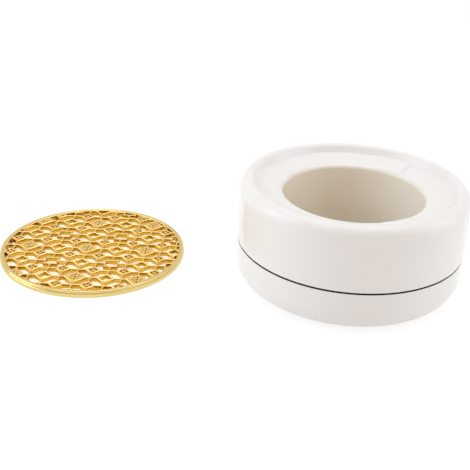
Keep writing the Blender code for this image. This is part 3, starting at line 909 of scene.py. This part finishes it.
def flare_levels(soft):
    """(height, widening) pairs up the wall of a gap, with its edges rounded below and above."""
    low = LATTICE_LOW.z
    high = LATTICE_HIGH.z
    beyond = 0.4 * MM
    foot = soft / 3
    levels = [(low - beyond, foot), (low + foot / 4, foot), (low + foot, 0.0)]
    for degrees in (0, 25, 50, 75):
        turn = math.radians(degrees)
        levels.append((high - soft + soft * math.sin(turn), soft * (1.0 - math.cos(turn))))
    levels.append((high + beyond, levels[-1][1]))
    return levels


def pocket_levels(soft, depth):
    """The same for a pocket from above and one from below, with solid brass between them."""
    levels = flare_levels(soft)
    above = [(LATTICE_HIGH.z - depth, 0.0)] + levels[3:]
    below = levels[:3] + [(LATTICE_LOW.z + depth, 0.0)]
    return above, below


def gap_tool(name, outlines, soft, pockets=(), pocket_soft=0.0, pocket_depth=0.0):
    """A mesh in the shape of gaps and pockets, wider at their open ends, for cutting."""
    maker = bmesh.new()
    kinds = [(outline, flare_levels(soft)) for outline in outlines]
    for outline in pockets:
        kinds += [(outline, levels) for levels in pocket_levels(pocket_soft, pocket_depth)]
    for outline, levels in kinds:
        rings = []
        for height, distance in levels:
            rings.append([maker.verts.new((x, y, height)) for x, y in widened(outline, distance)])
        maker.faces.new(reversed(rings[0]))
        maker.faces.new(rings[-1])
        size = len(outline)
        for lower, upper in zip(rings, rings[1:]):
            for here in range(size):
                there = (here + 1) % size
                maker.faces.new((lower[here], lower[there], upper[there], upper[here]))
    return new_piece(name, maker)


def disc_tool(name, radius, soft, segments):
    """A round mesh in the shape of the inside of the border, for trimming the gaps."""
    return gap_tool(name, [[polar(radius, turn) for turn in even_turns(segments)]], soft)


def new_nodes(name, **titles):
    """A geometry node tree with named inputs of several kinds, and what its input node gives."""
    tree = bpy.data.node_groups.new(name, "GeometryNodeTree")
    for kind, names in {"Geometry": ["Geometry"], **titles}.items():
        for title in names:
            tree.interface.new_socket(title, in_out="INPUT", socket_type=f"NodeSocket{kind}")
    tree.interface.new_socket("Geometry", in_out="OUTPUT", socket_type="NodeSocketGeometry")
    return tree, put(tree, "NodeGroupInput").outputs


def vector(tree, **parts):
    """A vector from values or links for its X, Y and Z."""
    return put(tree, "ShaderNodeCombineXYZ", parts).outputs[0]


def moved(tree, shape, place, turn=(0.0, 0.0, 0.0)):
    """A shape turned and moved."""
    inputs = {"Geometry": shape, "Translation": place, "Rotation": turn}
    return put(tree, "GeometryNodeTransform", inputs).outputs[0]


def taken(tree, source):
    """The shape of an object."""
    return put(tree, "GeometryNodeObjectInfo", {"Object": source}).outputs["Geometry"]


def repeated(tree, shape, points, **choice):
    """A shape on each of the points, or on the chosen ones."""
    inputs = {"Points": points, "Instance": shape, **choice}
    return put(tree, "GeometryNodeInstanceOnPoints", inputs).outputs[0]


def made_real(tree, shape):
    """Copies made into one mesh."""
    return put(tree, "GeometryNodeRealizeInstances", {0: shape}).outputs[0]


def hand_out(tree, shape, home, material):
    """End a tree with a shape at its home, all real and in its material."""
    real = made_real(tree, moved(tree, shape, home))
    finished = put(tree, "GeometryNodeSetMaterial", {"Geometry": real, "Material": material})
    put(tree, "NodeGroupOutput", {"Geometry": finished.outputs[0]})
    return tree


def openwork_tree():
    """Geometry nodes that repeat the motifs, trim them to the plate and cut them through it."""
    tree, given = new_nodes(
        "openwork",
        Object=("Rosette", "Diamond", "Square", "Small Ring", "Trim"),
        Float=("Pitch", "Turn", "Radius", "Low", "High"),
        Vector=("Shift", "Axis"),
        Int=("Motifs Across", "Segments"),
        Material=("Finish",),
    )
    pitch = given["Pitch"]
    across = given["Motifs Across"]
    span = maths(tree, "MULTIPLY", maths(tree, "SUBTRACT", across, 1.0), pitch)
    grid = put(tree, "GeometryNodeMeshGrid", {
        "Size X": span, "Size Y": span, "Vertices X": across, "Vertices Y": across,
    }).outputs["Mesh"]
    position = put(tree, "GeometryNodeInputPosition").outputs[0]
    place = put(tree, "ShaderNodeSeparateXYZ", {0: position}).outputs
    column, row = (maths(tree, "ROUND", maths(tree, "DIVIDE", place[key], pitch)) for key in ("X", "Y"))
    odd_sum = maths(tree, "FLOORED_MODULO", maths(tree, "ADD", column, row), 2.0)
    even_sum = maths(tree, "SUBTRACT", 1.0, odd_sum)
    odd_column = maths(tree, "FLOORED_MODULO", column, 2.0)
    even_column = maths(tree, "SUBTRACT", 1.0, odd_column)
    chosen = {
        "Diamond": odd_sum,
        "Square": maths(tree, "MULTIPLY", even_sum, odd_column),
        "Rosette": maths(tree, "MULTIPLY", even_sum, even_column),
    }
    motifs = put(tree, "GeometryNodeJoinGeometry")
    for title, selection in chosen.items():
        spread = repeated(tree, taken(tree, given[title]), grid, Selection=selection)
        tree.links.new(spread, motifs.inputs[0])
    half = maths(tree, "DIVIDE", pitch, 2.0)
    rings = repeated(tree, taken(tree, given["Small Ring"]), grid)
    tree.links.new(moved(tree, rings, vector(tree, X=half, Y=half)), motifs.inputs[0])
    turn = vector(tree, Z=given["Turn"])
    pattern = moved(tree, made_real(tree, motifs.outputs[0]), given["Shift"], turn)
    trimmed = put(tree, "GeometryNodeMeshBoolean", operation="INTERSECT", solver="MANIFOLD")
    for shape in (pattern, taken(tree, given["Trim"])):
        tree.links.new(shape, trimmed.inputs["Mesh 2"])
    blank = put(tree, "GeometryNodeMeshCylinder", {
        "Vertices": given["Segments"], "Radius": given["Radius"],
        "Depth": maths(tree, "SUBTRACT", given["High"], given["Low"]),
    }).outputs["Mesh"]
    middle_height = maths(tree, "DIVIDE", maths(tree, "ADD", given["High"], given["Low"]), 2.0)
    lifted = moved(tree, blank, vector(tree, Z=middle_height))
    cut = put(tree, "GeometryNodeMeshBoolean", {
        "Mesh 1": lifted, "Mesh 2": trimmed.outputs["Mesh"],
    }, operation="DIFFERENCE", solver="MANIFOLD").outputs["Mesh"]
    return hand_out(tree, cut, given["Axis"], given["Finish"])


def made_plain(name, tree, inputs, sharp_degrees, tools=()):
    """Run a geometry node tree on an empty mesh and keep the result as a plain piece."""
    carrier = bpy.data.objects.new(name + "_nodes", bpy.data.meshes.new(name + "_nodes"))
    bpy.context.scene.collection.objects.link(carrier)
    modifier = carrier.modifiers.new("shape", "NODES")
    modifier.node_group = tree
    for socket in tree.interface.items_tree:
        if socket.item_type == "SOCKET" and socket.in_out == "INPUT" and socket.name in inputs:
            modifier[socket.identifier] = inputs[socket.name]
    bpy.context.view_layer.update()
    graph = bpy.context.evaluated_depsgraph_get()
    mesh = bpy.data.meshes.new_from_object(carrier.evaluated_get(graph))
    if not mesh.polygons:
        raise RuntimeError(f"the nodes of {name} made nothing")
    carrier.modifiers.remove(modifier)
    for spare in (carrier, *tools):
        bpy.data.objects.remove(spare)
    return placed(name, mesh, sharp_degrees)


def build_openwork(plate, finish):
    """The openwork: rosettes, squares and diamonds joined by straps and small rings."""
    kinds = {"Rosette": "rosette", "Diamond": "diamond", "Square": "square", "Small Ring": "ring"}
    tools = {}
    for title, kind in kinds.items():
        gaps, pockets = motif_outlines(plate, kind)
        pocket_shape = (pockets, plate.fine_round, plate.fine_depth)
        tools[title] = gap_tool(f"{kind}_tool", gaps, plate.strap_round, *pocket_shape)
    bore = plate.outer_radius - plate.rim_width
    radius = bore - plate.seam
    tools["Trim"] = disc_tool("trim_tool", bore - plate.border, plate.fine_round, plate.segments)
    motifs_each_way = int(radius / plate.pitch) + 2
    piece = made_plain("plate_openwork", openwork_tree(), {
        **tools,
        "Pitch": plate.pitch, "Turn": plate.turn, "Radius": radius,
        "Low": LATTICE_LOW.z, "High": LATTICE_HIGH.z,
        "Shift": (plate.shift_x, plate.shift_y, 0.0), "Axis": tuple(PLATE_AXIS),
        "Motifs Across": 2 * motifs_each_way + 1, "Segments": plate.segments,
        "Finish": openwork_material(finish),
    }, sharp_degrees=32.0, tools=tools.values())
    settle(piece, "plate", "grille_lattice")


# Tealight

def build_cup(light, finish):
    """The thin cup: rolled edge, fine flutes and a stepped floor."""
    low = CUP_LOW.z
    high = CUP_HIGH.z
    sheet = light.cup_sheet
    corner = light.cup_corner
    bead = light.bead
    radius = light.cup_radius
    inner = radius - sheet
    step = light.step_height
    step_edge = light.step_radius
    step_foot = step_edge + light.step_slope
    flat = (step_foot + radius - corner) / 2
    facets_to_a_flute = 6
    outline = [(0.0, low + step), (step_edge, low + step), (step_foot, low), (flat, low)]
    outline += arc(radius - corner, low + corner, corner, -90, 0, 8)
    outline += straight((radius, low + corner), (radius, high - 2 * bead), 8)
    outline += arc(radius, high - bead, bead, -90, 90, 10)
    outline += [(inner, high)]
    outline += straight((inner, high), (inner, low + corner), 8)
    outline += arc(radius - corner, low + corner, corner - sheet, 0, -90, 8)
    outline += [(flat, low + sheet), (step_foot + sheet, low + sheet)]
    outline += [(step_edge + sheet, low + step + sheet), (0.0, low + step + sheet)]

    def fluted(r, z, turn):
        up = smooth_step(low + corner, low + 2 * corner, z)
        down = 1.0 - smooth_step(high - 3.5 * bead, high - 2.2 * bead, z)
        on_wall = 1.0 if r > inner - sheet / 4 else 0.0
        return r - light.flute_depth * on_wall * up * down * (0.5 + 0.5 * math.cos(light.flutes * turn)), z

    maker = turned(outline, RING_AXIS, even_turns(light.flutes * facets_to_a_flute), fluted)
    piece = new_piece("cup", maker, foil_material(finish))
    settle(piece, "tealight", "tealight_cup")


def build_wax(light, finish):
    """The wax, which climbs a little at the cup and at the wick and is hollow round the wick holder."""
    low = CUP_LOW.z + light.wax_foot
    high = WAX_HIGH.z
    gap = light.wax_gap
    outer = light.cup_radius - light.cup_sheet - light.flute_depth - gap
    corner = light.cup_corner
    creep = light.wax_creep
    climb = light.wax_climb
    bore = light.wick_radius + gap
    level = high - creep
    hollow = half_width(HOLDER_LOW, HOLDER_HIGH) + gap
    roof = HOLDER_LOW.z + light.holder_thickness + gap
    neck = bore + light.neck_wall + 4 * gap
    neck_top = HOLDER_HIGH.z + gap
    calm_edge = 2.0 * MM
    under_top = level - 0.1 * MM
    outline = [(hollow, low)]
    outline += arc(outer - corner, low + corner, corner, -90, 0, 6)
    outline += [(outer, high)]
    for r, _ in straight((outer, high), (bore, high), 25):
        edge = math.exp(-(outer - r) / creep) + climb * math.exp(-(r - bore) / creep)
        outline.append((r, level + creep * edge))
    outline += [(bore, level + climb * creep), (bore, neck_top), (neck, neck_top)]
    outline += [(neck, roof), (hollow, roof)]

    def settled(r, z, turn):
        ripple = math.sin(3 * turn + r * 400.0) + 0.5 * math.sin(5 * turn - r * 700.0 + 1.0)
        fade = smooth_step(bore, bore + calm_edge, r) * (1.0 - smooth_step(outer - calm_edge, outer, r))
        return r, z + (light.wax_ripple * ripple * fade if z > under_top else 0.0)

    maker = turned(outline, RING_AXIS, even_turns(120), settled)
    piece = new_piece("wax", maker, wax_material(finish))
    settle(piece, "tealight", "tealight_wax")


def build_holder(light, finish):
    """The wick holder: a small plate with a crimped neck."""
    low = HOLDER_LOW.z
    high = HOLDER_HIGH.z
    plate_top = low + light.holder_thickness
    bore = light.wick_radius + light.wax_gap
    neck = bore + light.neck_wall
    edge = half_width(HOLDER_LOW, HOLDER_HIGH)
    soft = light.holder_thickness / 2
    outline = [(0.0, low)]
    outline += arc(edge - soft, low + soft, soft, -90, 90, 6)
    outline += arc(neck + soft, plate_top + soft, soft, 270, 180, 4)
    outline += arc(neck - soft / 2, high - soft / 2, soft / 2, 0, 90, 3)
    outline += [(bore, high), (bore, plate_top), (0.0, plate_top)]

    def crimped(r, z, turn):
        above = smooth_step(plate_top + 0.6 * MM, plate_top + 1.2 * MM, z)
        below = 1.0 - smooth_step(high - 1.0 * MM, high, z)
        squeeze = light.crimp_depth * above * below * (0.5 + 0.5 * math.cos(light.crimps * turn))
        return (r - squeeze if r > bore + light.neck_wall / 2 else r), z

    maker = turned(outline, RING_AXIS, even_turns(48), crimped)
    piece = new_piece("wick_holder", maker, tin_material(finish))
    settle(piece, "tealight", "wick_sustainer")


def wick_tree():
    """Geometry nodes that twist strands round each other."""
    tree, given = new_nodes(
        "twisted_strands",
        Int=("Strands",),
        Float=("Radius", "Strand Radius", "Height", "Turns"),
        Vector=("Foot",),
        Material=("Finish",),
    )
    path = put(tree, "GeometryNodeCurveSpiral", {
        "Resolution": 16, "Rotations": given["Turns"], "Start Radius": given["Radius"],
        "End Radius": given["Radius"], "Height": given["Height"],
    })
    section = put(tree, "GeometryNodeCurvePrimitiveCircle", {
        "Resolution": 10, "Radius": given["Strand Radius"],
    }).outputs["Curve"]
    strand = put(tree, "GeometryNodeCurveToMesh", {
        "Curve": path.outputs[0], "Profile Curve": section, "Fill Caps": True,
    })
    points = put(tree, "GeometryNodePoints", {"Count": given["Strands"]}).outputs[0]
    index = put(tree, "GeometryNodeInputIndex").outputs[0]
    turn = maths(tree, "MULTIPLY", maths(tree, "DIVIDE", index, given["Strands"]), math.tau)
    spun = repeated(tree, strand.outputs[0], points, Rotation=vector(tree, Z=turn))
    return hand_out(tree, spun, given["Foot"], given["Finish"])


def build_wick(light, finish):
    """The wick: waxed cotton strands twisted together."""
    strand_radius = light.wick_radius / 2
    inset = 0.1 * MM
    slack = 0.02 * MM
    piece = made_plain("wick_strands", wick_tree(), {
        "Strands": light.strands, "Radius": light.wick_radius - strand_radius - slack,
        "Strand Radius": strand_radius, "Height": WICK_HIGH.z - WICK_LOW.z - 2 * inset,
        "Turns": light.strand_turns, "Foot": (RING_AXIS.x, RING_AXIS.y, WICK_LOW.z + inset),
        "Finish": cotton_material(finish),
    }, sharp_degrees=50.0)
    settle(piece, "tealight", "wick")


# Stage

def seen_directly(tree):
    """1 for rays from the camera, a mirror or glass, and 0 for rays that carry light."""
    path = put(tree, "ShaderNodeLightPath").outputs
    seen = maths(tree, "MAXIMUM", path["Is Camera Ray"], path["Is Glossy Ray"])
    return maths(tree, "MAXIMUM", seen, path["Is Transmission Ray"])


def build_floor(studio):
    """A wide pale floor that is seen white in the open and keeps its shade under the plate."""
    maker = bmesh.new()
    bmesh.ops.create_circle(maker, cap_ends=True, segments=64, radius=FLOOR_RADIUS)
    bmesh.ops.translate(maker, verts=maker.verts, vec=(0.0, 0.0, -FLOOR_GAP))
    material, tree, shader = new_material("pale_floor")
    tree.nodes.remove(shader)
    lit = put(tree, "ShaderNodeBsdfDiffuse", {"Color": shade(studio.floor)})
    radius = off_axis(tree, centred_place(tree, PLATE_AXIS))
    edge = half_width(RIM_LOW, RIM_HIGH)
    under = ramp(tree, radius, edge, edge - 4.0 * MM)
    in_the_open, under_plate = (
        toned(studio.floor, share) for share in (studio.floor_shade, studio.under_shade)
    )
    faint = put(tree, "ShaderNodeBsdfDiffuse", {"Color": blend(tree, under, in_the_open, under_plate)})
    strength = ramp(tree, under, 0.0, 1.0, studio.floor_glow, studio.under_glow)
    glow = put(tree, "ShaderNodeEmission", {"Color": (1.0, 1.0, 1.0, 1.0), "Strength": strength})
    white = put(tree, "ShaderNodeAddShader", {0: faint.outputs[0], 1: glow.outputs[0]})
    mixed = put(tree, "ShaderNodeMixShader", {0: seen_directly(tree), 1: lit.outputs[0], 2: white.outputs[0]})
    tree.links.new(mixed.outputs[0], tree.nodes["Material Output"].inputs["Surface"])
    floor = new_piece("floor", maker, material)


def build_sky(studio):
    """Even light from all round, seen in a mirror as bright above and behind and dimmer low in front."""
    world = bpy.data.worlds.new("studio")
    world.use_nodes = True
    tree = world.node_tree
    above_and_behind = (0.0, 0.5, 0.87)
    direction = put(tree, "ShaderNodeTexCoord").outputs["Generated"]
    share = ramp(tree, along(tree, direction, above_and_behind), -0.35, 0.65)
    mirrored = blend(tree, share, studio.front, studio.sky)
    light = blend(tree, seen_directly(tree), studio.room, mirrored)
    tree.links.new(light, tree.nodes["Background"].inputs["Color"])
    bpy.context.scene.world = world


def build_lamps(studio):
    """Soft rectangular lamps aimed at the object."""
    for side, (place, width, height) in LAMPS.items():
        name = f"{side}_lamp"
        lamp = bpy.data.lights.new(name, "AREA")
        lamp.shape = "RECTANGLE"
        lamp.size = width
        lamp.size_y = height
        lamp.energy = getattr(studio, f"{side}_power")
        lamp.color = studio.lamp_tint
        holder = bpy.data.objects.new(name, lamp)
        holder.location = place
        holder.rotation_mode = "QUATERNION"
        holder.rotation_quaternion = (Vector(LAMP_TARGET) - Vector(place)).to_track_quat("-Z", "Y")
        bpy.context.scene.collection.objects.link(holder)


def build_camera(studio):
    """The camera at the place and angle of the photograph."""
    camera = bpy.data.cameras.new("camera")
    camera.lens = studio.lens
    camera.sensor_width = 36.0
    camera.shift_x = studio.shift_x
    camera.shift_y = studio.shift_y
    camera.clip_start = 10.0 * MM
    camera.clip_end = 50.0
    holder = bpy.data.objects.new("camera", camera)
    level = Matrix.Rotation(math.pi / 2 - studio.pitch, 4, "X")
    roll = Matrix.Rotation(studio.roll, 4, "Z")
    place = Matrix.Translation((studio.camera_x, studio.camera_y, studio.camera_z))
    holder.matrix_world = place @ level @ roll
    bpy.context.scene.collection.objects.link(holder)
    bpy.context.scene.camera = holder


# Operators

class WARMER_OT_ring(bpy.types.Operator):
    """Build the porcelain ring"""

    bl_idname = "warmer.ring"
    bl_label = "Porcelain Ring"

    def execute(self, context):
        build_ring(context.scene.warmer_ring, context.scene.warmer_glaze)
        return {"FINISHED"}


class WARMER_OT_line(bpy.types.Operator):
    """Draw the black line round the ring"""

    bl_idname = "warmer.line"
    bl_label = "Black Line"

    def execute(self, context):
        build_line(context.scene.warmer_ring, context.scene.warmer_glaze)
        return {"FINISHED"}


class WARMER_OT_rim(bpy.types.Operator):
    """Build the rim of the openwork plate"""

    bl_idname = "warmer.rim"
    bl_label = "Plate Rim"

    def execute(self, context):
        build_rim(context.scene.warmer_plate, context.scene.warmer_brass)
        return {"FINISHED"}


class WARMER_OT_openwork(bpy.types.Operator):
    """Build the openwork of the plate"""

    bl_idname = "warmer.openwork"
    bl_label = "Plate Openwork"

    def execute(self, context):
        build_openwork(context.scene.warmer_plate, context.scene.warmer_brass)
        return {"FINISHED"}


class WARMER_OT_cup(bpy.types.Operator):
    """Build the cup of the tealight"""

    bl_idname = "warmer.cup"
    bl_label = "Tealight Cup"

    def execute(self, context):
        build_cup(context.scene.warmer_tealight, context.scene.warmer_tealight_finish)
        return {"FINISHED"}


class WARMER_OT_wax(bpy.types.Operator):
    """Fill the cup with wax"""

    bl_idname = "warmer.wax"
    bl_label = "Wax"

    def execute(self, context):
        build_wax(context.scene.warmer_tealight, context.scene.warmer_tealight_finish)
        return {"FINISHED"}


class WARMER_OT_wick(bpy.types.Operator):
    """Build the wick and its holder"""

    bl_idname = "warmer.wick"
    bl_label = "Wick and Holder"

    def execute(self, context):
        build_holder(context.scene.warmer_tealight, context.scene.warmer_tealight_finish)
        build_wick(context.scene.warmer_tealight, context.scene.warmer_tealight_finish)
        return {"FINISHED"}


class WARMER_OT_stage(bpy.types.Operator):
    """Set up the floor, the lamps and the camera"""

    bl_idname = "warmer.stage"
    bl_label = "Stage"

    def execute(self, context):
        studio = context.scene.warmer_studio
        build_floor(studio)
        build_sky(studio)
        build_lamps(studio)
        build_camera(studio)
        context.scene.view_settings.view_transform = "Standard"
        return {"FINISHED"}


class WARMER_PT_panel(bpy.types.Panel):
    """Sizes, colours and buttons of the teapot warmer"""

    bl_idname = "WARMER_PT_panel"
    bl_label = "Teapot Warmer"
    bl_space_type = "VIEW_3D"
    bl_region_type = "UI"
    bl_category = "Warmer"

    def draw(self, context):
        for name, (title, _) in GROUPS.items():
            box = self.layout.box()
            box.label(text=title)
            group = getattr(context.scene, name)
            for key in type(group).__annotations__:
                box.prop(group, key)
        for operator in OPERATORS:
            self.layout.operator(operator.bl_idname)


GROUPS = {
    "warmer_ring": ("Porcelain ring", RingShape),
    "warmer_glaze": ("Glaze", GlazeFinish),
    "warmer_plate": ("Openwork plate", PlateShape),
    "warmer_brass": ("Brass", BrassFinish),
    "warmer_tealight": ("Tealight", TealightShape),
    "warmer_tealight_finish": ("Tealight colours", TealightFinish),
    "warmer_studio": ("Studio", Studio),
}
OPERATORS = (
    WARMER_OT_ring,
    WARMER_OT_line,
    WARMER_OT_rim,
    WARMER_OT_openwork,
    WARMER_OT_cup,
    WARMER_OT_wax,
    WARMER_OT_wick,
    WARMER_OT_stage,
)


def register():
    for name, (_, kind) in GROUPS.items():
        bpy.utils.register_class(kind)
        setattr(bpy.types.Scene, name, PointerProperty(type=kind))
    for kind in (*OPERATORS, WARMER_PT_panel):
        bpy.utils.register_class(kind)


def unregister():
    for kind in reversed((*OPERATORS, WARMER_PT_panel)):
        bpy.utils.unregister_class(kind)
    for name, (_, kind) in reversed(GROUPS.items()):
        delattr(bpy.types.Scene, name)
        bpy.utils.unregister_class(kind)


def main():
    register()
    bpy.ops.warmer.ring()
    bpy.ops.warmer.line()
    bpy.ops.warmer.rim()
    bpy.ops.warmer.openwork()
    bpy.ops.warmer.cup()
    bpy.ops.warmer.wax()
    bpy.ops.warmer.wick()
    bpy.ops.warmer.stage()


if __name__ == "__main__":
    main()
